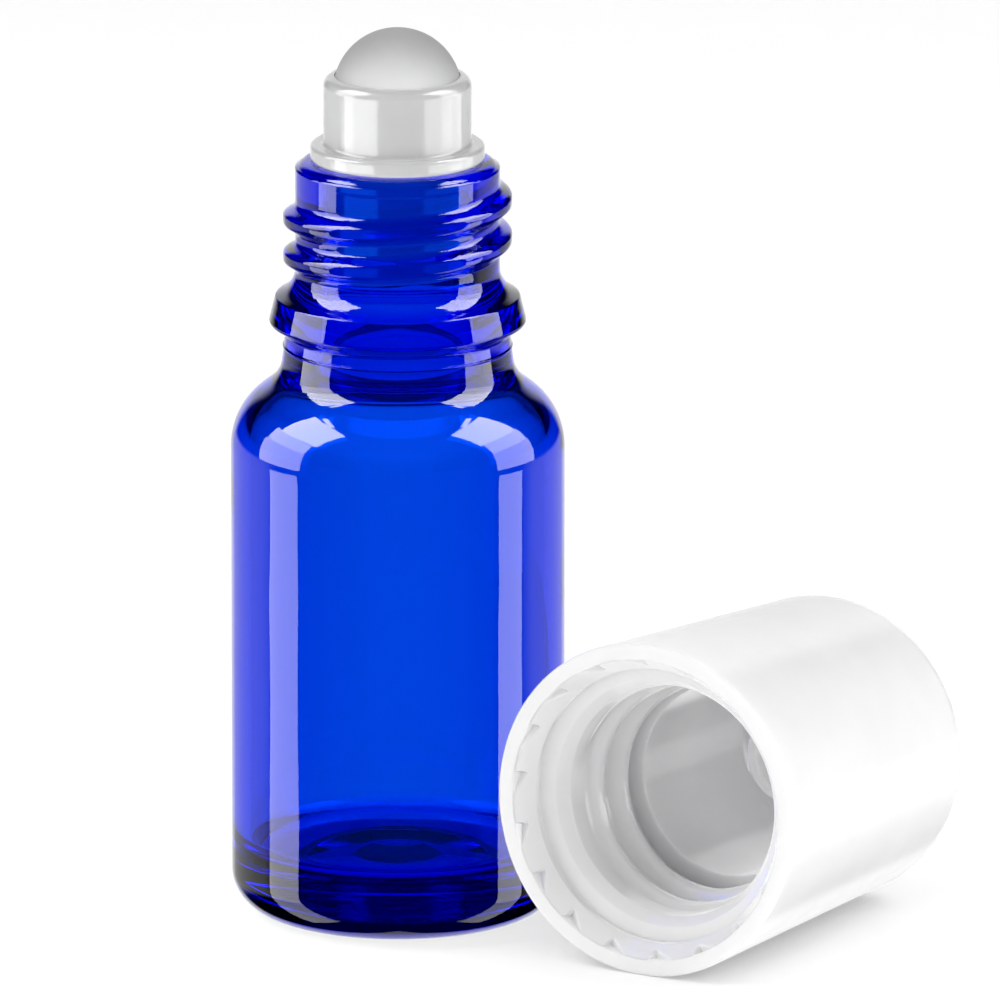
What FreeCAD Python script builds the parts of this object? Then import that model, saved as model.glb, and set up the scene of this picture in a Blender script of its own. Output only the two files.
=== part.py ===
"""Roll-on bottle: blown glass bottle, snap-in roller housing, roller ball and a screw cap lying beside it.

Millimetres, +Z up. The origin is the centre of the base that the bottle stands on.
The cap lies on its tapered side, its mouth towards -X and its closed end towards +X.
"""
import FreeCAD, Part
import math
import os

Vector = FreeCAD.Vector
UP = Vector(0, 0, 1)
FULL_TURN = 360.0
QUARTER_TURN = 90.0
overrun = 1.0

# Glass bottle: a stout body, a sloping shoulder and a neck with a bead below its screw finish
body_radius = 12.5
body_straight_height = 35.9
wall = 1.4
heel_rounding = 3.2
heel_rise = 0.35
foot_outer_radius = 7.5
foot_inner_radius = 6.7
foot_rounding = 0.5
push_up_radius = 3.2
push_up_height = 0.8
push_up_rounding = 3.0
floor_height = 5.1
floor_crown_radius = 2.6
floor_crown_height = 0.5
floor_rounding = 1.3
shoulder_angle = 38.0
shoulder_rounding = 5.4
lower_neck_radius = 8.4
lower_neck_flare = 0.4
lower_neck_length = 3.2
lower_neck_rounding = 2.6
neck_radius = 7.65
neck_bore_radius = 5.6
neck_bore_rounding = 2.0
bead_reach = 2.0
bead_underside_rise = 0.85
bead_edge_height = 1.7
bead_edge_taper = 0.55
bead_slope_height = 1.2
bead_edge_rounding = 0.3
bead_root_rounding = 1.1
finish_height = 13.25
lip_outer_rounding = 1.2
lip_inner_rounding = 0.3

# Roller ball
ball_radius = 4.81

# Roller housing: a plug with sealing rings, a flange on the glass lip and a cup that traps the ball
socket_clearance = 0.06
socket_wall = 0.67
socket_floor = 0.27
lip_above_equator = 1.26
lip_rounding = 0.8
flange_reach = 0.98
flange_thickness = 1.2
flange_rounding = 0.3
flange_root_rounding = 0.25
plug_length = 8.1
plug_clearance = 0.3
plug_wall = 1.5
plug_lead_in = 0.6
plug_top_thickness = 1.5
seat_ledge = 0.6
seal_ring_count = 2
seal_ring_radius = 0.6
seal_ring_clearance = 0.01
seal_ring_first_drop = 1.2
seal_ring_step = 3.3

# Screw cap
cap_skirt_wall = 3.85
cap_draft_angle = 2.47
cap_top_rounding = 3.2
cap_top_thickness = 1.7
cap_rim_wall = 1.25
cap_rim_rounding = 0.2
cap_chamfer_reach = 1.3
cap_chamfer_depth = 0.9
thread_depth = 0.9
thread_clearance = 0.2
cap_shoulder_depth = 2.0
cap_shoulder_length = 2.0
cap_land_depth = 12.6
cap_land_clearance = 0.1
cap_deep_bore_clearance = 0.8
cap_deep_bore_rounding = 1.0
cap_seal_radius = 3.1
cap_seal_width = 0.8
cap_seal_height = 7.0
cap_seal_rounding = 0.3
cap_seal_clearance = 0.05

# Ratchet teeth in the chamfer just inside the cap's mouth
tooth_count = 18
tooth_drop = 0.85
tooth_ramp_length = 2.1
tooth_phase_angle = 17.4

# Where the cap lies
cap_stand_off = 0.3
cap_mouth_x = -7.0

# Sizes that follow from the ones above
shoulder_rise = math.tan(math.radians(shoulder_angle))
shoulder_miter = math.tan(math.radians(QUARTER_TURN - shoulder_angle) / 2)
shoulder_corner = body_straight_height + shoulder_rounding * shoulder_miter
neck_base_radius = lower_neck_radius + lower_neck_flare
neck_base = shoulder_corner + (body_radius - neck_base_radius) * shoulder_rise
bead_bottom = neck_base + lower_neck_length
bead_radius = neck_radius + bead_reach
bead_shoulder = bead_bottom + bead_underside_rise + bead_edge_height
lip_height = bead_bottom + finish_height
inner_radius = body_radius - wall
inner_corner = shoulder_corner - wall * shoulder_miter
bore_corner = inner_corner + (inner_radius - neck_bore_radius) * shoulder_rise

socket_radius = ball_radius + socket_clearance
cup_radius = socket_radius + socket_wall
ball_height = lip_height + socket_floor + socket_radius
housing_top = ball_height + lip_above_equator
plug_radius = neck_bore_radius - plug_clearance
plug_bore_radius = plug_radius - plug_wall
flow_hole_radius = plug_bore_radius - seat_ledge

thread_root_radius = neck_radius + thread_depth + thread_clearance
cap_mouth_radius = thread_root_radius + cap_skirt_wall
cap_inner_radius = cap_mouth_radius - cap_rim_wall
mouth_wall_radius = cap_inner_radius - cap_chamfer_reach
deep_bore_radius = cup_radius + flange_reach + cap_deep_bore_clearance
closed_mouth_height = lip_height + cap_land_clearance - cap_land_depth
seal_contact_height = ball_height + math.sqrt(ball_radius ** 2 - cap_seal_radius ** 2)
cap_seal_depth = seal_contact_height + cap_seal_clearance - closed_mouth_height
cap_inner_depth = cap_seal_depth + cap_seal_height
cap_length = cap_inner_depth + cap_top_thickness
cap_taper = math.tan(math.radians(cap_draft_angle))


def rounded_outline(corners):
    """Closed wire in the XZ plane; each corner is (radius, height, rounding)."""
    spots = [Vector(corner[0], 0, corner[1]) for corner in corners]
    edges = []
    ends = []
    for index, (spot, corner) in enumerate(zip(spots, corners)):
        to_last = (spots[index - 1] - spot).normalize()
        to_next = (spots[(index + 1) % len(spots)] - spot).normalize()
        rounding = corner[2]
        if not rounding:
            ends.append((spot, spot))
            continue
        half_angle = to_last.getAngle(to_next) / 2
        reach = rounding / math.tan(half_angle)
        middle_way = (to_last + to_next).normalize()
        middle = spot + middle_way * (rounding / math.sin(half_angle) - rounding)
        start = spot + to_last * reach
        end = spot + to_next * reach
        edges.append(Part.Arc(start, middle, end).toShape())
        ends.append((start, end))
    for index, (start, end) in enumerate(ends):
        next_start = ends[(index + 1) % len(ends)][0]
        edges.append(Part.LineSegment(end, next_start).toShape())
    return Part.Wire(Part.__sortEdges__(edges))


def turned(corners):
    """Solid of revolution about Z with the given rounded outline."""
    face = Part.Face(rounded_outline(corners))
    return face.revolve(Vector(0, 0, 0), UP, FULL_TURN)


def cylinder(radius, bottom, top):
    return Part.makeCylinder(radius, top - bottom, Vector(0, 0, bottom))


def glass_bottle():
    """One glass blow: pushed-up base, straight body, conical shoulder, neck bead and rounded lip."""
    outside = [
        (0, push_up_height, 0),
        (push_up_radius, push_up_height, push_up_rounding),
        (foot_inner_radius, 0, foot_rounding),
        (foot_outer_radius, 0, foot_rounding),
        (body_radius, heel_rise, heel_rounding),
        (body_radius, shoulder_corner, shoulder_rounding),
        (neck_base_radius, neck_base, lower_neck_rounding),
        (lower_neck_radius, bead_bottom, bead_edge_rounding),
        (bead_radius, bead_bottom + bead_underside_rise, bead_edge_rounding),
        (bead_radius - bead_edge_taper, bead_shoulder, bead_edge_rounding),
        (neck_radius, bead_shoulder + bead_slope_height, bead_root_rounding),
        (neck_radius, lip_height, lip_outer_rounding),
    ]
    inside = [
        (neck_bore_radius, lip_height, lip_inner_rounding),
        (neck_bore_radius, bore_corner, neck_bore_rounding),
        (inner_radius, inner_corner, shoulder_rounding - wall),
        (inner_radius, floor_height, floor_rounding),
        (floor_crown_radius, floor_height + floor_crown_height, floor_rounding),
        (0, floor_height + floor_crown_height, 0),
    ]
    return turned(outside + inside)


def roller_ball():
    return Part.makeSphere(ball_radius, Vector(0, 0, ball_height))


def seal_ring(index):
    """One half-round sealing ring standing out of the plug."""
    height = lip_height - seal_ring_first_drop - index * seal_ring_step
    crest_radius = neck_bore_radius - seal_ring_clearance
    return Part.makeTorus(crest_radius - seal_ring_radius, seal_ring_radius, Vector(0, 0, height))


def roller_housing():
    """Soft plastic fitment: the plug grips the neck bore and the cup's lip closes in over the ball."""
    plug_bottom = lip_height - plug_length
    flange_radius = cup_radius + flange_reach
    flange_top = lip_height + flange_thickness
    body = turned([
        (0, plug_bottom, 0),
        (plug_radius, plug_bottom, plug_lead_in),
        (plug_radius, lip_height, 0),
        (flange_radius, lip_height, flange_rounding),
        (flange_radius, flange_top, flange_rounding),
        (cup_radius, flange_top, flange_root_rounding),
        (cup_radius, housing_top, lip_rounding),
        (0, housing_top, 0),
    ])
    body = body.fuse([seal_ring(index) for index in range(seal_ring_count)])
    septum_bottom = lip_height - plug_top_thickness
    plug_bore = cylinder(plug_bore_radius, plug_bottom - overrun, septum_bottom)
    flow_hole = cylinder(flow_hole_radius, septum_bottom - overrun, ball_height)
    socket = Part.makeSphere(socket_radius, Vector(0, 0, ball_height))
    return body.cut([plug_bore, flow_hole, socket])


def cap_moulding():
    """The cap stood on its mouth: tapered skirt, thread seat, deep bore and the ring that seals the ball."""
    top_radius = cap_mouth_radius - cap_length * cap_taper
    seal_inner_radius = cap_seal_radius - cap_seal_width / 2
    seal_outer_radius = cap_seal_radius + cap_seal_width / 2
    return turned([
        (0, cap_length, 0),
        (top_radius, cap_length, cap_top_rounding),
        (cap_mouth_radius, 0, cap_rim_rounding),
        (cap_inner_radius, 0, cap_rim_rounding / 2),
        (mouth_wall_radius, cap_chamfer_depth, 0),
        (mouth_wall_radius, cap_shoulder_depth, 0),
        (thread_root_radius, cap_shoulder_depth + cap_shoulder_length, 0),
        (thread_root_radius, cap_land_depth, 0),
        (deep_bore_radius, cap_land_depth, 0),
        (deep_bore_radius, cap_inner_depth, cap_deep_bore_rounding),
        (seal_outer_radius, cap_inner_depth, 0),
        (seal_outer_radius, cap_seal_depth, cap_seal_rounding),
        (seal_inner_radius, cap_seal_depth, cap_seal_rounding),
        (seal_inner_radius, cap_inner_depth, 0),
        (0, cap_inner_depth, 0),
    ])


def tooth_pocket():
    """Wedge between two ratchet teeth: deepest at its step, running out along its ramp."""
    step_top = Vector(mouth_wall_radius, 0, -overrun)
    step_foot = Vector(mouth_wall_radius, 0, tooth_drop)
    ramp_slope = tooth_drop / tooth_ramp_length
    ramp_run = tooth_ramp_length + overrun / ramp_slope
    ramp_end = Vector(mouth_wall_radius, -ramp_run, -overrun)
    face = Part.Face(Part.makePolygon([step_top, step_foot, ramp_end, step_top]))
    wedge = face.extrude(Vector(cap_chamfer_reach + cap_rim_wall, 0, 0))
    mouth = cylinder(cap_inner_radius, -2 * overrun, cap_shoulder_depth)
    return wedge.common(mouth)


def screw_cap():
    """The cap with its ring of ratchet teeth, laid down on its tapered side."""
    pocket = tooth_pocket()
    pockets = []
    for index in range(tooth_count):
        angle = tooth_phase_angle + index * FULL_TURN / tooth_count
        pockets.append(pocket.rotated(Vector(0, 0, 0), UP, angle))
    cap = cap_moulding().cut(pockets)
    cap.rotate(Vector(0, 0, 0), Vector(0, 1, 0), QUARTER_TURN + cap_draft_angle)
    mouth_height = cap_mouth_radius * math.cos(math.radians(cap_draft_angle))
    side_step = body_radius + cap_stand_off + cap_mouth_radius
    cap.translate(Vector(cap_mouth_x, -side_step, mouth_height))
    return cap


os.makedirs("parts", exist_ok=True)
nodes = {
    "glass_bottle": glass_bottle,
    "roller_housing": roller_housing,
    "roller_ball": roller_ball,
    "screw_cap": screw_cap,
}
for name, make in nodes.items():
    shape = make()
    shape.exportStep("parts/" + name + ".step")
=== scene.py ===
import math

import bpy
from mathutils import Matrix, Vector


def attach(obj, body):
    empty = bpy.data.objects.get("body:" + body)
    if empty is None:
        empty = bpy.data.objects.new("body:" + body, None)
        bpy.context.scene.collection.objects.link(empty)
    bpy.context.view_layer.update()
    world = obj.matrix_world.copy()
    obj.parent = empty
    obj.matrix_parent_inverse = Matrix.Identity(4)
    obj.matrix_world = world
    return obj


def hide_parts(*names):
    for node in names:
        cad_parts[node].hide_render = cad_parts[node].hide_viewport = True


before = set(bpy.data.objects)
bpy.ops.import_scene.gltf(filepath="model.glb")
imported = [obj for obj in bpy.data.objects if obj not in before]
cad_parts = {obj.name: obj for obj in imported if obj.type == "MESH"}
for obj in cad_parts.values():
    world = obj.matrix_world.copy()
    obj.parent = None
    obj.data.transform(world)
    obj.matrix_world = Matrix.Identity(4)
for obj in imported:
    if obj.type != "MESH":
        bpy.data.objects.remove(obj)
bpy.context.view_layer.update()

# Glass bottle: cobalt blue glass, blown in a split mould, with a thick floor that is pushed up from below.
# The mould also forms the bead and the right-hand screw thread of the neck, and the lip is fire-polished.
# Sizes are in millimetres here and in the pieces below.
mm = 0.001
skin_gap = 0.01
body_radius = 12.5
shoulder_height = 38.534
lower_neck_radius = 8.4
mould_joint_height = 43.65
mould_joint_half_width = 0.12
bead_radius = 9.65
bead_bottom = 44.625
bead_root_height = 48.35
neck_radius = 7.65
lip_height = 57.875
glass_top = lip_height - skin_gap
bore_radius = 5.6
lower_bore_radius = 5.95
inner_radius = 11.1
floor_height = 5.6
push_up_height = 0.8
thread_pitch = 2.867
neck_thread_stand = 0.91
neck_thread_start = math.radians(30.3)
neck_thread_height = 49.78
neck_thread_turns = 2
neck_thread_limits = (48.0, 57.3)
neck_skin_limit = 7.4
thread_rows = 35
thread_row_height = 0.2
first_thread_row = 49.75
bottle_columns = 192
longest_run = 0.5
bottle_outline = [
    (0, push_up_height, 0),
    (3.2, push_up_height, 3.0),
    (6.7, 0, 0.5),
    (7.5, 0, 0.5),
    (body_radius, 0.35, 3.2),
    (body_radius, shoulder_height, 5.4),
    (8.8, 41.425, 2.6),
    (8.53, mould_joint_height - mould_joint_half_width, 0.05),
    (8.63, mould_joint_height, 0.06),
    (8.51, mould_joint_height + mould_joint_half_width, 0.05),
    (lower_neck_radius, bead_bottom, 0.3),
    (bead_radius, bead_bottom + 0.85, 0.3),
    (bead_radius - 0.5, bead_root_height - 0.9, 0.25),
    (neck_radius, bead_root_height, 2.2),
    *((neck_radius, first_thread_row + thread_row_height * row, 0) for row in range(thread_rows)),
    (neck_radius, glass_top, 1.2),
    (bore_radius, glass_top, 0.3),
    (bore_radius, 50.0, 1.0),
    (lower_bore_radius, 49.0, 1.0),
    (lower_bore_radius, 42.148, 2.0),
    (inner_radius, 37.851, 4.0),
    (inner_radius, floor_height - 0.5, 1.3),
    (2.6, floor_height, 1.3),
    (0, floor_height, 0),
]


def rounded(corners, run, closed=False):
    """Outline points in metres, at most a run apart; each corner is (radius, height, rounding)."""
    degrees_per_step = 5
    fewest_steps = 3
    spots = [Vector((radius, 0, height)) for radius, height, rounding in corners]
    bends = []
    for index, spot in enumerate(spots):
        rounding = corners[index][2]
        if not rounding:
            bends.append([spot])
            continue
        to_last = (spots[index - 1] - spot).normalized()
        to_next = (spots[(index + 1) % len(spots)] - spot).normalized()
        half_angle = to_last.angle(to_next) / 2
        centre = spot + (to_last + to_next).normalized() * (rounding / math.sin(half_angle))
        start = spot + to_last * (rounding / math.tan(half_angle)) - centre
        end = spot + to_next * (rounding / math.tan(half_angle)) - centre
        turn = start.rotation_difference(end)
        steps = max(fewest_steps, math.ceil(math.degrees(turn.angle) / degrees_per_step))
        bends.append([centre + Matrix.Rotation(turn.angle * step / steps, 3, turn.axis) @ start
                      for step in range(steps + 1)])
    if closed:
        bends.append(bends[0][:1])
    points = bends[0][:]
    for bend in bends[1:]:
        gap = bend[0] - points[-1]
        parts = max(1, math.ceil(gap.length / run))
        points += [points[-1] + gap * (part / parts) for part in range(1, parts)]
        points += bend
    return [point * mm for point in points]


def turned(name, points, columns):
    """Draw the outline point by point, then turn it once round the upright axis."""
    bpy.ops.object.select_all(action="DESELECT")
    bpy.ops.mesh.primitive_plane_add(size=mm, location=(0, 0, 0))
    piece = bpy.context.object
    piece.name = piece.data.name = name
    bpy.ops.object.mode_set(mode="EDIT")
    bpy.ops.mesh.merge(type="CENTER")
    bpy.ops.transform.translate(value=points[0])
    for last, point in zip(points, points[1:]):
        bpy.ops.mesh.extrude_vertices_move(TRANSFORM_OT_translate={"value": point - last})
    bpy.ops.object.mode_set(mode="OBJECT")
    bpy.ops.object.modifier_add(type="SCREW")
    lathe = piece.modifiers[-1]
    lathe.steps = lathe.render_steps = columns
    bpy.ops.object.modifier_apply(modifier=lathe.name)
    bpy.ops.object.mode_set(mode="EDIT")
    bpy.ops.mesh.select_all(action="SELECT")
    bpy.ops.mesh.remove_doubles(threshold=1e-6)
    bpy.ops.mesh.normals_make_consistent(inside=False)
    bpy.ops.object.mode_set(mode="OBJECT")
    bpy.ops.object.shade_smooth()
    return piece


def smooth_step(low, high, value):
    """Rise from 0 at the low value to 1 at the high one, level at both ends."""
    share = min(1, max(0, (value - low) / (high - low)))
    return share * share * (3 - 2 * share)


def thread_share(angle, height, first_angle, first_height, turns, crest, foot):
    """How far a single-start thread stands up here, from 0 to 1; crest and foot are half widths."""
    full_turn = 2 * math.pi
    run_out = 0.7
    share = 0
    for turn in range(-1, 4):
        swept = (angle - first_angle) % full_turn + turn * full_turn
        ends = smooth_step(0, run_out, swept) * smooth_step(0, run_out, turns * full_turn - swept)
        offset = abs(height - first_height - thread_pitch * swept / full_turn)
        share = max(share, ends * (1 - smooth_step(crest, foot, offset)))
    return share


bottle = turned("bottle_glass", rounded(bottle_outline, longest_run), bottle_columns)
for vertex in bottle.data.vertices:
    radius = math.hypot(vertex.co.x, vertex.co.y) / mm
    height = vertex.co.z / mm
    if radius > neck_skin_limit and neck_thread_limits[0] < height < neck_thread_limits[1]:
        angle = math.atan2(vertex.co.y, vertex.co.x)
        stand = neck_thread_stand * thread_share(
            angle, height, neck_thread_start, neck_thread_height, neck_thread_turns, crest=0.3, foot=1.15)
        vertex.co.xy *= max(radius, neck_radius + stand) / radius

blue_glass = bpy.data.materials.new("cobalt_glass")
blue_glass.use_nodes = True
nodes, links = blue_glass.node_tree.nodes, blue_glass.node_tree.links
shader = nodes["Principled BSDF"]
shader.inputs["Base Color"].default_value = (0.885, 0.885, 0.885, 1)
shader.inputs["Roughness"].default_value = 0.0
shader.inputs["IOR"].default_value = 1.52
shader.inputs["Transmission Weight"].default_value = 1
tint = nodes.new("ShaderNodeVolumeAbsorption")
tint.inputs["Color"].default_value = (0.01, 0.635, 0.984, 1)
tint.inputs["Density"].default_value = 2600
links.new(tint.outputs["Volume"], nodes["Material Output"].inputs["Volume"])
place = nodes.new("ShaderNodeTexCoord")
waves = nodes.new("ShaderNodeTexNoise")
waves.inputs["Scale"].default_value = 120
waves.inputs["Detail"].default_value = 1
links.new(place.outputs["Object"], waves.inputs["Vector"])
ripple = nodes.new("ShaderNodeBump")
ripple.inputs["Strength"].default_value = 0.3
ripple.inputs["Distance"].default_value = 0.2 * mm
links.new(waves.outputs["Fac"], ripple.inputs["Height"])
links.new(ripple.outputs["Normal"], shader.inputs["Normal"])
bottle.data.materials.append(blue_glass)
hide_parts("glass_bottle")
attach(bottle, "bottle")
bottle.visible_diffuse = False

# Roller housing: one injection moulding in glossy white plastic, pushed into the neck until its flange meets
# the lip. Two rings round its plug seal the bore, and the lip of its cup closes in over the ball.
ball_height = 63.0145
socket_radius = 4.87
socket_lip_degrees = 15
socket_foot_degrees = -49
socket_step_degrees = 4
cup_radius = 5.54
cup_top = ball_height + 1.26
flange_radius = 6.52
flange_top = lip_height + 1.2
plug_radius = 5.3
plug_bore_radius = 3.8
plug_bottom = lip_height - 8.1
seal_radius = bore_radius - skin_gap
throat_radius = 3.2
throat_bottom = lip_height - 1.5
housing_columns = 160
housing_outline = [(plug_bore_radius, plug_bottom, 0.2), (plug_radius, plug_bottom, 0.6)]
for ring_height in (lip_height - 4.5, lip_height - 1.2):
    housing_outline += [
        (plug_radius, ring_height - 0.5, 0.1),
        (seal_radius, ring_height - 0.3, 0.25),
        (seal_radius, ring_height + 0.3, 0.25),
        (plug_radius, ring_height + 0.5, 0.1),
    ]
housing_outline += [
    (plug_radius, lip_height, 0.05),
    (flange_radius, lip_height, 0.3),
    (flange_radius, flange_top, 0.3),
    (cup_radius, flange_top, 0.25),
    (cup_radius, cup_top, 0.8),
]
for degrees in range(socket_lip_degrees, socket_foot_degrees - 1, -socket_step_degrees):
    turn = math.radians(degrees)
    housing_outline.append((socket_radius * math.cos(turn), ball_height + socket_radius * math.sin(turn), 0))
housing_outline += [(throat_radius, throat_bottom, 0.1), (plug_bore_radius, throat_bottom, 0.1)]
housing = turned("housing_moulding", rounded(housing_outline, longest_run, closed=True), housing_columns)
crease_angle = math.radians(35)
bpy.ops.object.shade_smooth_by_angle(angle=crease_angle)


def moulded_skin():
    """The finish of a moulding: a cloudy mask of duller and brighter patches, and a normal that ripples."""
    grain_share = 0.15
    skin = bpy.data.node_groups.new("moulded_skin", "ShaderNodeTree")
    skin.interface.new_socket("Place", in_out="INPUT", socket_type="NodeSocketVector")
    for name in ("Cloud Scale", "Grain Scale", "Ripple Height"):
        skin.interface.new_socket(name, in_out="INPUT", socket_type="NodeSocketFloat")
    skin.interface.new_socket("Clouds", in_out="OUTPUT", socket_type="NodeSocketFloat")
    skin.interface.new_socket("Normal", in_out="OUTPUT", socket_type="NodeSocketVector")
    taken = skin.nodes.new("NodeGroupInput")
    given = skin.nodes.new("NodeGroupOutput")
    clouds = skin.nodes.new("ShaderNodeTexNoise")
    clouds.inputs["Detail"].default_value = 3
    grain = skin.nodes.new("ShaderNodeTexNoise")
    grain.inputs["Detail"].default_value = 2
    for noise, scale in ((clouds, "Cloud Scale"), (grain, "Grain Scale")):
        skin.links.new(taken.outputs["Place"], noise.inputs["Vector"])
        skin.links.new(taken.outputs[scale], noise.inputs["Scale"])
    both = skin.nodes.new("ShaderNodeMath")
    both.operation = "MULTIPLY_ADD"
    both.inputs[1].default_value = grain_share
    skin.links.new(grain.outputs["Fac"], both.inputs[0])
    skin.links.new(clouds.outputs["Fac"], both.inputs[2])
    ripple = skin.nodes.new("ShaderNodeBump")
    skin.links.new(both.outputs["Value"], ripple.inputs["Height"])
    skin.links.new(taken.outputs["Ripple Height"], ripple.inputs["Distance"])
    skin.links.new(clouds.outputs["Fac"], given.inputs["Clouds"])
    skin.links.new(ripple.outputs["Normal"], given.inputs["Normal"])
    return skin


def skinned(name, pale, deep, smooth, dull, cloud_scale, grain_scale, ripple_height):
    """A plastic that shifts between two near colours and two roughnesses with the clouds in its skin."""
    thin_cloud = 0.3
    thick_cloud = 0.7
    material = bpy.data.materials.new(name)
    material.use_nodes = True
    nodes, links = material.node_tree.nodes, material.node_tree.links
    place = nodes.new("ShaderNodeTexCoord")
    finish = nodes.new("ShaderNodeGroup")
    finish.node_tree = bpy.data.node_groups.get("moulded_skin") or moulded_skin()
    finish.inputs["Cloud Scale"].default_value = cloud_scale
    finish.inputs["Grain Scale"].default_value = grain_scale
    finish.inputs["Ripple Height"].default_value = ripple_height
    links.new(place.outputs["Object"], finish.inputs["Place"])
    hues = nodes.new("ShaderNodeValToRGB")
    for stop, position, colour in zip(hues.color_ramp.elements, (thin_cloud, thick_cloud), (deep, pale)):
        stop.position = position
        stop.color = (*colour, 1)
    links.new(finish.outputs["Clouds"], hues.inputs["Fac"])
    gloss = nodes.new("ShaderNodeMapRange")
    gloss.inputs["From Min"].default_value = thin_cloud
    gloss.inputs["From Max"].default_value = thick_cloud
    gloss.inputs["To Min"].default_value = smooth
    gloss.inputs["To Max"].default_value = dull
    links.new(finish.outputs["Clouds"], gloss.inputs["Value"])
    shader = nodes["Principled BSDF"]
    links.new(hues.outputs["Color"], shader.inputs["Base Color"])
    links.new(gloss.outputs["Result"], shader.inputs["Roughness"])
    links.new(finish.outputs["Normal"], shader.inputs["Normal"])
    return material, shader


white_plastic, shader = skinned(
    "housing_gloss", pale=(0.75, 0.755, 0.755), deep=(0.71, 0.715, 0.715), smooth=0.1, dull=0.15,
    cloud_scale=300, grain_scale=2500, ripple_height=0.02 * mm)
nodes, links = white_plastic.node_tree.nodes, white_plastic.node_tree.links
# Painted shade: where the housing is seen through the glass, its colour is multiplied by a deep blue, so the
# plug in the neck shows darker and bluer.
ray = nodes.new("ShaderNodeLightPath")
painted_glass_shade = nodes.new("ShaderNodeMixRGB")
painted_glass_shade.blend_type = "MULTIPLY"
painted_glass_shade.inputs["Color2"].default_value = (0.15, 0.25, 0.85, 1)
links.new(ray.outputs["Is Transmission Ray"], painted_glass_shade.inputs["Fac"])
links.new(shader.inputs["Base Color"].links[0].from_socket, painted_glass_shade.inputs["Color1"])
links.new(painted_glass_shade.outputs["Color"], shader.inputs["Base Color"])
housing.data.materials.append(white_plastic)
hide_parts("roller_housing")
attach(housing, "bottle")

# Roller ball: a solid moulded ball of matte grey plastic, tumbled until it is round.
# It snaps past the lip of the cup and rolls freely in its socket.
ball_radius = 4.81
ball_cuts = 39
bpy.ops.object.select_all(action="DESELECT")
bpy.ops.mesh.primitive_cube_add(size=2 * ball_radius * mm, location=(0, 0, 0))
ball = bpy.context.object
ball.name = ball.data.name = "rolling_ball"
bpy.ops.object.mode_set(mode="EDIT")
bpy.ops.mesh.subdivide(number_cuts=ball_cuts)
bpy.ops.object.mode_set(mode="OBJECT")
ball_centre = Vector((0, 0, ball_height * mm))
for vertex in ball.data.vertices:
    vertex.co = vertex.co.normalized() * (ball_radius * mm) + ball_centre
bpy.ops.object.shade_smooth()

grey_plastic, shader = skinned(
    "ball_matte", pale=(0.52, 0.525, 0.525), deep=(0.49, 0.495, 0.495), smooth=0.75, dull=0.85,
    cloud_scale=400, grain_scale=6000, ripple_height=0.03 * mm)
shader.inputs["Specular IOR Level"].default_value = 0.25
ball.data.materials.append(grey_plastic)
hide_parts("roller_ball")
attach(ball, "ball")

# Screw cap: one injection moulding in glossy white plastic, tapered so that it leaves its mould.
# A ring of ratchet teeth lies just inside its mouth, then the thread, the deep bore and the ball's sealing
# ring. It is turned upright, mouth down, and then laid on its side next to the bottle.
cap_length = 30.067
cap_mouth_radius = 12.6
cap_end_radius = 11.303
rim_inner_radius = 11.35
tooth_ring_radius = 10.38
tooth_ring_depth = 1.75
tooth_ring_limits = (0.03, 1.7)
tooth_ring_slack = 0.01
tooth_rows = 12
first_tooth_row = 0.06
tooth_row_inset = 0.0808
tooth_row_rise = 0.1408
tooth_count = 18
columns_per_tooth = 16
tooth_pitch_angle = 2 * math.pi / tooth_count
tooth_phase = math.radians(17.4)
tooth_drop = 1.25
tooth_ramp_angle = math.radians(10.6)
thread_seat_radius = 8.75
thread_seat_start = 4.1
thread_seat_end = 12.6
thread_seat_slack = 0.15
cap_thread_limits = (4.2, 12.4)
cap_thread_rows = 27
cap_thread_row_height = 0.3
first_cap_thread_row = 4.5
cap_thread_stand = 0.61
cap_thread_stand_depth = 7.6
cap_thread_growth = 0.17
cap_thread_start = math.radians(90)
cap_thread_height = 4.75
cap_thread_turns = 2.35
cap_bore_radius = 7.32
cap_bore_end = 28.37
ring_outer_radius = 3.5
ring_inner_radius = 2.7
ring_edge = 21.37
cap_longest_run = 0.8
cap_outline = [
    (0, cap_length, 0),
    (cap_end_radius, cap_length, 3.2),
    (cap_mouth_radius, 0, 0.2),
    (rim_inner_radius, 0, 0.1),
    *((rim_inner_radius - tooth_row_inset * row, first_tooth_row + tooth_row_rise * row, 0)
      for row in range(tooth_rows)),
    (tooth_ring_radius, tooth_ring_depth, 0.1),
    (10.44, 2.4, 0.2),
    (9.4, 3.0, 0.3),
    (thread_seat_radius, thread_seat_start, 0.3),
    *((thread_seat_radius, first_cap_thread_row + cap_thread_row_height * row, 0)
      for row in range(cap_thread_rows)),
    (thread_seat_radius, thread_seat_end, 0.1),
    (cap_bore_radius, thread_seat_end, 0.1),
    (cap_bore_radius, cap_bore_end, 1.0),
    (ring_outer_radius, cap_bore_end, 0),
    (ring_outer_radius, ring_edge, 0.3),
    (ring_inner_radius, ring_edge, 0.3),
    (ring_inner_radius, cap_bore_end, 0),
    (0, cap_bore_end, 0),
]
cap = turned("cap_moulding", rounded(cap_outline, cap_longest_run), tooth_count * columns_per_tooth)
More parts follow.
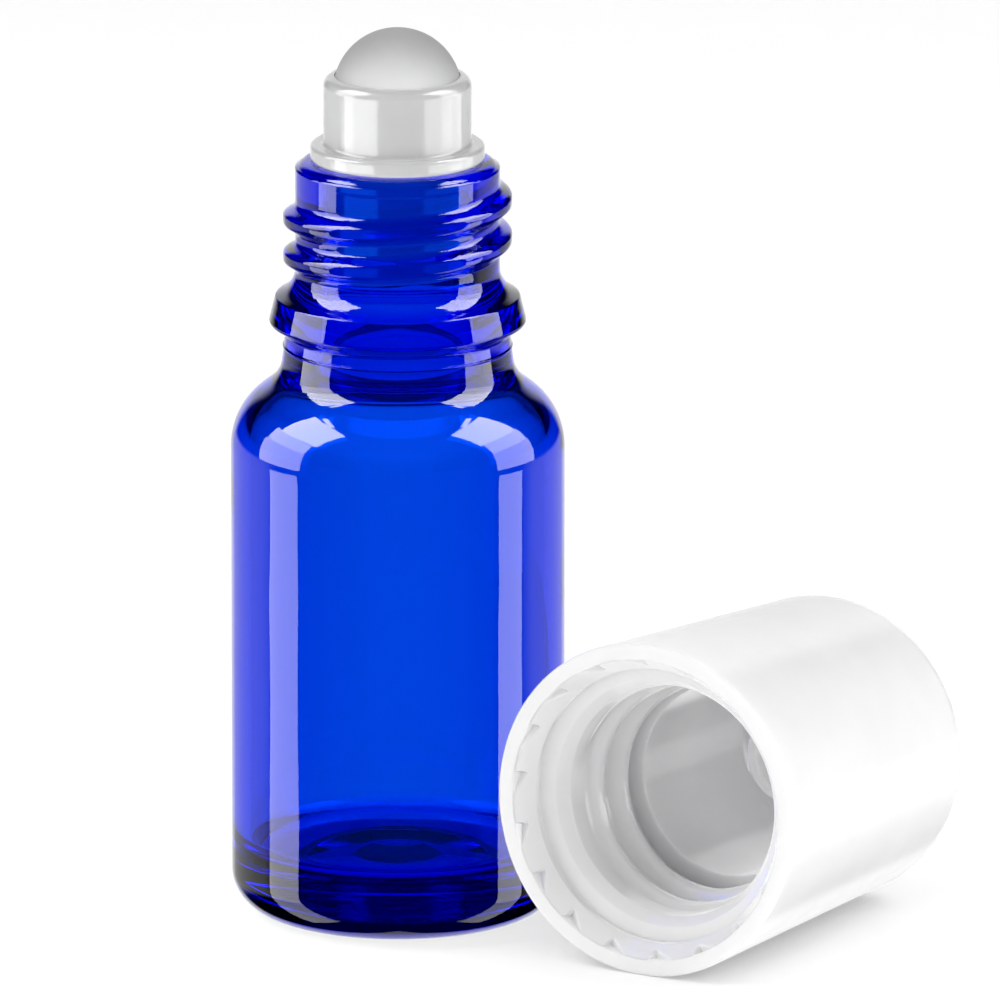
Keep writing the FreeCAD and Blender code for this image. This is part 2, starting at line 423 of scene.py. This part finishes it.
for vertex in cap.data.vertices:
    radius = math.hypot(vertex.co.x, vertex.co.y) / mm
    depth = vertex.co.z / mm
    angle = math.atan2(vertex.co.y, vertex.co.x)
    on_tooth_ring = tooth_ring_radius + tooth_ring_slack < radius < rim_inner_radius + tooth_ring_slack
    on_thread_seat = abs(radius - thread_seat_radius) < thread_seat_slack
    if on_tooth_ring and tooth_ring_limits[0] < depth < tooth_ring_limits[1]:
        behind = (tooth_phase - angle) % tooth_pitch_angle
        drop = tooth_drop * max(0, 1 - behind / tooth_ramp_angle)
        vertex.co.z = max(vertex.co.z, drop * mm)
    elif on_thread_seat and cap_thread_limits[0] < depth < cap_thread_limits[1]:
        stand = cap_thread_stand + cap_thread_growth * (depth - cap_thread_stand_depth)
        stand *= thread_share(
            angle, depth, cap_thread_start, cap_thread_height, cap_thread_turns, crest=0.25, foot=1.2)
        vertex.co.xy *= (radius - stand) / radius
bpy.ops.object.shade_smooth_by_angle(angle=crease_angle)
cap_turn = (0, math.radians(92.47), 0)
cap_place = (-7.0 * mm, -25.4 * mm, 12.588 * mm)
cap.rotation_euler = cap_turn
cap.location = cap_place
bpy.ops.object.transform_apply(location=True, rotation=True, scale=True)

cap_plastic, shader = skinned(
    "cap_gloss", pale=(0.9, 0.9, 0.9), deep=(0.87, 0.87, 0.87), smooth=0.13, dull=0.2,
    cloud_scale=200, grain_scale=2500, ripple_height=0.02 * mm)
shader.inputs["Subsurface Weight"].default_value = 1
shader.inputs["Subsurface Radius"].default_value = (1, 1, 1)
shader.inputs["Subsurface Scale"].default_value = 1 * mm
nodes, links = cap_plastic.node_tree.nodes, cap_plastic.node_tree.links
# Painted light: the deep bore glows faintly, rising from 10 mm in to full at 19 mm, inside a radius of 7.5 mm
# from the axis, in place of daylight that comes through the cap's wall.
place = nodes.new("ShaderNodeTexCoord")
on_axis = nodes.new("ShaderNodeMapping")
on_axis.vector_type = "TEXTURE"
on_axis.inputs["Location"].default_value = cap_place
on_axis.inputs["Rotation"].default_value = cap_turn
links.new(place.outputs["Object"], on_axis.inputs["Vector"])
split = nodes.new("ShaderNodeSeparateXYZ")
links.new(on_axis.outputs["Vector"], split.inputs["Vector"])
off_axis = nodes.new("ShaderNodeVectorMath")
off_axis.operation = "MULTIPLY"
off_axis.inputs[1].default_value = (1, 1, 0)
links.new(on_axis.outputs["Vector"], off_axis.inputs[0])
reach = nodes.new("ShaderNodeVectorMath")
reach.operation = "LENGTH"
links.new(off_axis.outputs["Vector"], reach.inputs[0])
painted_bore_light = nodes.new("ShaderNodeMath")
painted_bore_light.operation = "MULTIPLY"
painted_light_limits = ((split.outputs["Z"], 10 * mm, 19 * mm), (reach.outputs["Value"], 7.6 * mm, 7.5 * mm))
for index, (measure, dark, bright) in enumerate(painted_light_limits):
    mask = nodes.new("ShaderNodeMapRange")
    mask.inputs["From Min"].default_value = dark
    mask.inputs["From Max"].default_value = bright
    links.new(measure, mask.inputs["Value"])
    links.new(mask.outputs["Result"], painted_bore_light.inputs[index])
links.new(painted_bore_light.outputs["Value"], shader.inputs["Emission Color"])
shader.inputs["Emission Strength"].default_value = 0.1
cap.data.materials.append(cap_plastic)
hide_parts("screw_cap")
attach(cap, "cap")
cap.visible_glossy = False

# Table: a plain pale sheet that both the bottle and its cap rest on.
# It is matt, and it stays out of the reflections in the glass.
table_width = 6
bpy.ops.object.select_all(action="DESELECT")
bpy.ops.mesh.primitive_plane_add(size=table_width, location=(0, 0, 0))
table = bpy.context.object
table.name = table.data.name = "table"
pale = bpy.data.materials.new("pale_table")
pale.use_nodes = True
shader = pale.node_tree.nodes["Principled BSDF"]
shader.inputs["Base Color"].default_value = (0.9, 0.9, 0.9, 1)
shader.inputs["Roughness"].default_value = 1
shader.inputs["Specular IOR Level"].default_value = 0
table.data.materials.append(pale)
table.visible_glossy = False

# Studio lights: a tall bank of panels at each side of the bottle, brighter towards the top, which show in the
# glass and the plastic as its highlights. Softer washes whiten the table, the cap and the ball, and stay out
# of the reflections.
camera_bearing = math.radians(210.6)
light_distance = 0.8
aim_height = 0.03


def softbox(name, bearing, elevation, wide, tall, radiance):
    """A square-cornered light that faces the bottle from this bearing off the camera's; angles in degrees."""
    heading = camera_bearing + math.radians(bearing)
    rise = math.radians(elevation)
    outward = Vector((math.cos(rise) * math.cos(heading), math.cos(rise) * math.sin(heading), math.sin(rise)))
    bpy.ops.object.light_add(type="AREA", location=outward * light_distance + Vector((0, 0, aim_height)))
    light = bpy.context.object
    light.name = light.data.name = name
    light.rotation_euler = outward.to_track_quat("Z", "Y").to_euler()
    light.data.shape = "RECTANGLE"
    light.data.size = 2 * light_distance * math.tan(math.radians(wide) / 2)
    light.data.size_y = 2 * light_distance * math.tan(math.radians(tall) / 2)
    light.data.energy = radiance * math.pi * light.data.size * light.data.size_y
    light.visible_camera = False
    return light


def linked(light, role, pieces):
    """Name the pieces that a light falls on, as its receiver, or that shade it, as its blocker."""
    group = bpy.data.collections.new(light.name + "_" + role)
    for piece in pieces:
        group.objects.link(piece)
    setattr(light.light_linking, role + "_collection", group)


def lights_only(light, piece, *other_blockers):
    """Let this light fall on one piece alone, shaded by that piece and by no others than these."""
    linked(light, "receiver", (piece,))
    linked(light, "blocker", (piece, *other_blockers))
    light.visible_transmission = False


for name, bearing, elevation, wide, tall, radiance in (
        ("left_heel", -86.5, -44, 26, 36, 2.2),
        ("left_foot", -86.5, -18.5, 25.6, 15, 4.0),
        ("left_low", -90, 6, 40, 24, 5.0),
        ("left_middle", -89.5, 25, 37, 14, 7.5),
        ("left_top", -85, 45.5, 36, 27, 11),
        ("left_tip", -96, 60.3, 14, 2.6, 11),
        ("right_heel", 84, -44, 21, 36, 2.0),
        ("right_foot", 84, -18.5, 21, 15, 3.8),
        ("right_low", 89, 6, 36, 24, 4.5),
        ("right_middle", 88.5, 25, 33.5, 14, 7.0),
        ("right_top", 86, 45.5, 34, 27, 10),
        ("right_tip", 97, 60.3, 13, 2.6, 10)):
    panel = softbox(name, bearing, elevation, wide, tall, radiance)
    panel.visible_diffuse = False
    if name != "right_low":
        linked(panel, "receiver", (bottle, housing, ball))
for name, bearing, elevation, wide, tall, radiance in (
        ("left_wash", -85, 40, 31, 40, 2.4),
        ("right_wash", 85, 40, 31, 40, 2.4),
        ("front_wash", -5, 22, 66, 40, 1.0),
        ("overhead_wash", 0, 89, 80, 80, 0.5)):
    wash = softbox(name, bearing, elevation, wide, tall, radiance)
    wash.visible_glossy = False
    if name == "front_wash":
        linked(wash, "receiver", (bottle, housing, ball, table))
for name, radiance, other_blockers in (("table_wash", 0.28, ()), ("table_shade", 0.6, (cap,))):
    wash = softbox(name, 0, 89, 100, 100, radiance)
    wash.visible_glossy = False
    lights_only(wash, table, *other_blockers)
for name, bearing, elevation, wide, tall, radiance in (
        ("cap_wash", 60, 22, 85, 60, 1.2),
        ("mouth_wash", -5, 22, 66, 40, 0.28),
        ("rim_wash", -62, 12, 30, 30, 3.7)):
    wash = softbox(name, bearing, elevation, wide, tall, radiance)
    wash.visible_glossy = False
    lights_only(wash, cap)
for name, bearing, wide, radiance in (("left_gleam", -61, 58, 6.0), ("right_gleam", 80, 74, 3.5)):
    gleam = softbox(name, bearing, -14, wide, 26, radiance)
    gleam.visible_diffuse = False
    lights_only(gleam, housing)
ball_wash = softbox("ball_wash", 0, -25, 40, 30, 10)
ball_wash.visible_glossy = False
lights_only(ball_wash, ball)

# Room: dark, with a bright backdrop opposite the camera and a low glow that stands for the table where it is
# reflected. Rays that come through the glass also see a bright ceiling, and bounce often enough to leave the
# thick base.
bpy.context.scene.cycles.glossy_bounces = 24
bpy.context.scene.cycles.max_bounces = 32
bpy.context.scene.cycles.transmission_bounces = 32
world = bpy.data.worlds.new("studio")
bpy.context.scene.world = world
world.use_nodes = True
nodes, links = world.node_tree.nodes, world.node_tree.links
place = nodes.new("ShaderNodeTexCoord")


def maths(operation, first, second):
    """One step of arithmetic on two values of the room."""
    step = nodes.new("ShaderNodeMath")
    step.operation = operation
    links.new(first, step.inputs[0])
    links.new(second, step.inputs[1])
    return step.outputs["Value"]


def along(bearing):
    """How far the direction of sight points along this level bearing."""
    toward = nodes.new("ShaderNodeVectorMath")
    toward.operation = "DOT_PRODUCT"
    toward.inputs[1].default_value = (math.cos(bearing), math.sin(bearing), 0)
    links.new(place.outputs["Generated"], toward.inputs[0])
    return toward.outputs["Value"]


def fade(value, start, end, low, high):
    """Pass smoothly from low to high while the value goes from start to end."""
    ramp = nodes.new("ShaderNodeMapRange")
    ramp.interpolation_type = "SMOOTHSTEP"
    for socket, number in zip(("From Min", "From Max", "To Min", "To Max"), (start, end, low, high)):
        ramp.inputs[socket].default_value = number
    links.new(value, ramp.inputs["Value"])
    return ramp.outputs["Result"]


# The room is drawn by height, the sine of the angle above level, and by radians off the camera's bearing.
split = nodes.new("ShaderNodeSeparateXYZ")
links.new(place.outputs["Generated"], split.inputs["Vector"])
height = split.outputs["Z"]
off_camera = nodes.new("ShaderNodeMath")
off_camera.operation = "ABSOLUTE"
bearing = maths("ARCTAN2", along(camera_bearing + math.pi / 2), along(camera_bearing))
links.new(bearing, off_camera.inputs[0])
away = off_camera.outputs["Value"]
ray = nodes.new("ShaderNodeLightPath")
through = ray.outputs["Is Transmission Ray"]
backdrop = maths("MULTIPLY", fade(away, 2.62, 2.80, 0, 1), fade(height, 0.6, 0.8, 1, 0))
backdrop = maths("MULTIPLY", backdrop, fade(through, 0, 1, 1, 0.08))
table_glow = maths("MULTIPLY", fade(away, 1.6, 1.9, 0, 0.7), fade(height, -0.14, -0.08, 1, 0))
table_glow = maths("MULTIPLY", table_glow, fade(height, -0.45, -0.33, 0, 1))
ceiling = maths("MULTIPLY", fade(height, 0.25, 0.6, 0.5, 3), fade(away, 1.9, 2.3, 1, 0))
ceiling = maths("MULTIPLY", through, maths("MAXIMUM", ceiling, fade(height, 0.9, 0.95, 0, 9)))
seen = maths("MAXIMUM", maths("MAXIMUM", backdrop, table_glow), ceiling)
links.new(seen, nodes["Background"].inputs["Strength"])
nodes["Background"].inputs["Color"].default_value = (1, 1, 1, 1)

# Camera: a long lens, a little above the bottle, at the photograph's angle.
# The plain view transform keeps the whites white.
camera_place = (-1.4025, -0.8294, 0.4451)
camera_tilt = math.radians(75.76)
camera_heading = math.radians(-59.67)
bpy.ops.object.camera_add(location=camera_place, rotation=(camera_tilt, 0, camera_heading))
camera = bpy.context.object
camera.data.sensor_width = 36
camera.data.lens = 808
camera.data.clip_end = 20
bpy.context.scene.camera = camera
bpy.context.scene.view_settings.view_transform = "Standard"
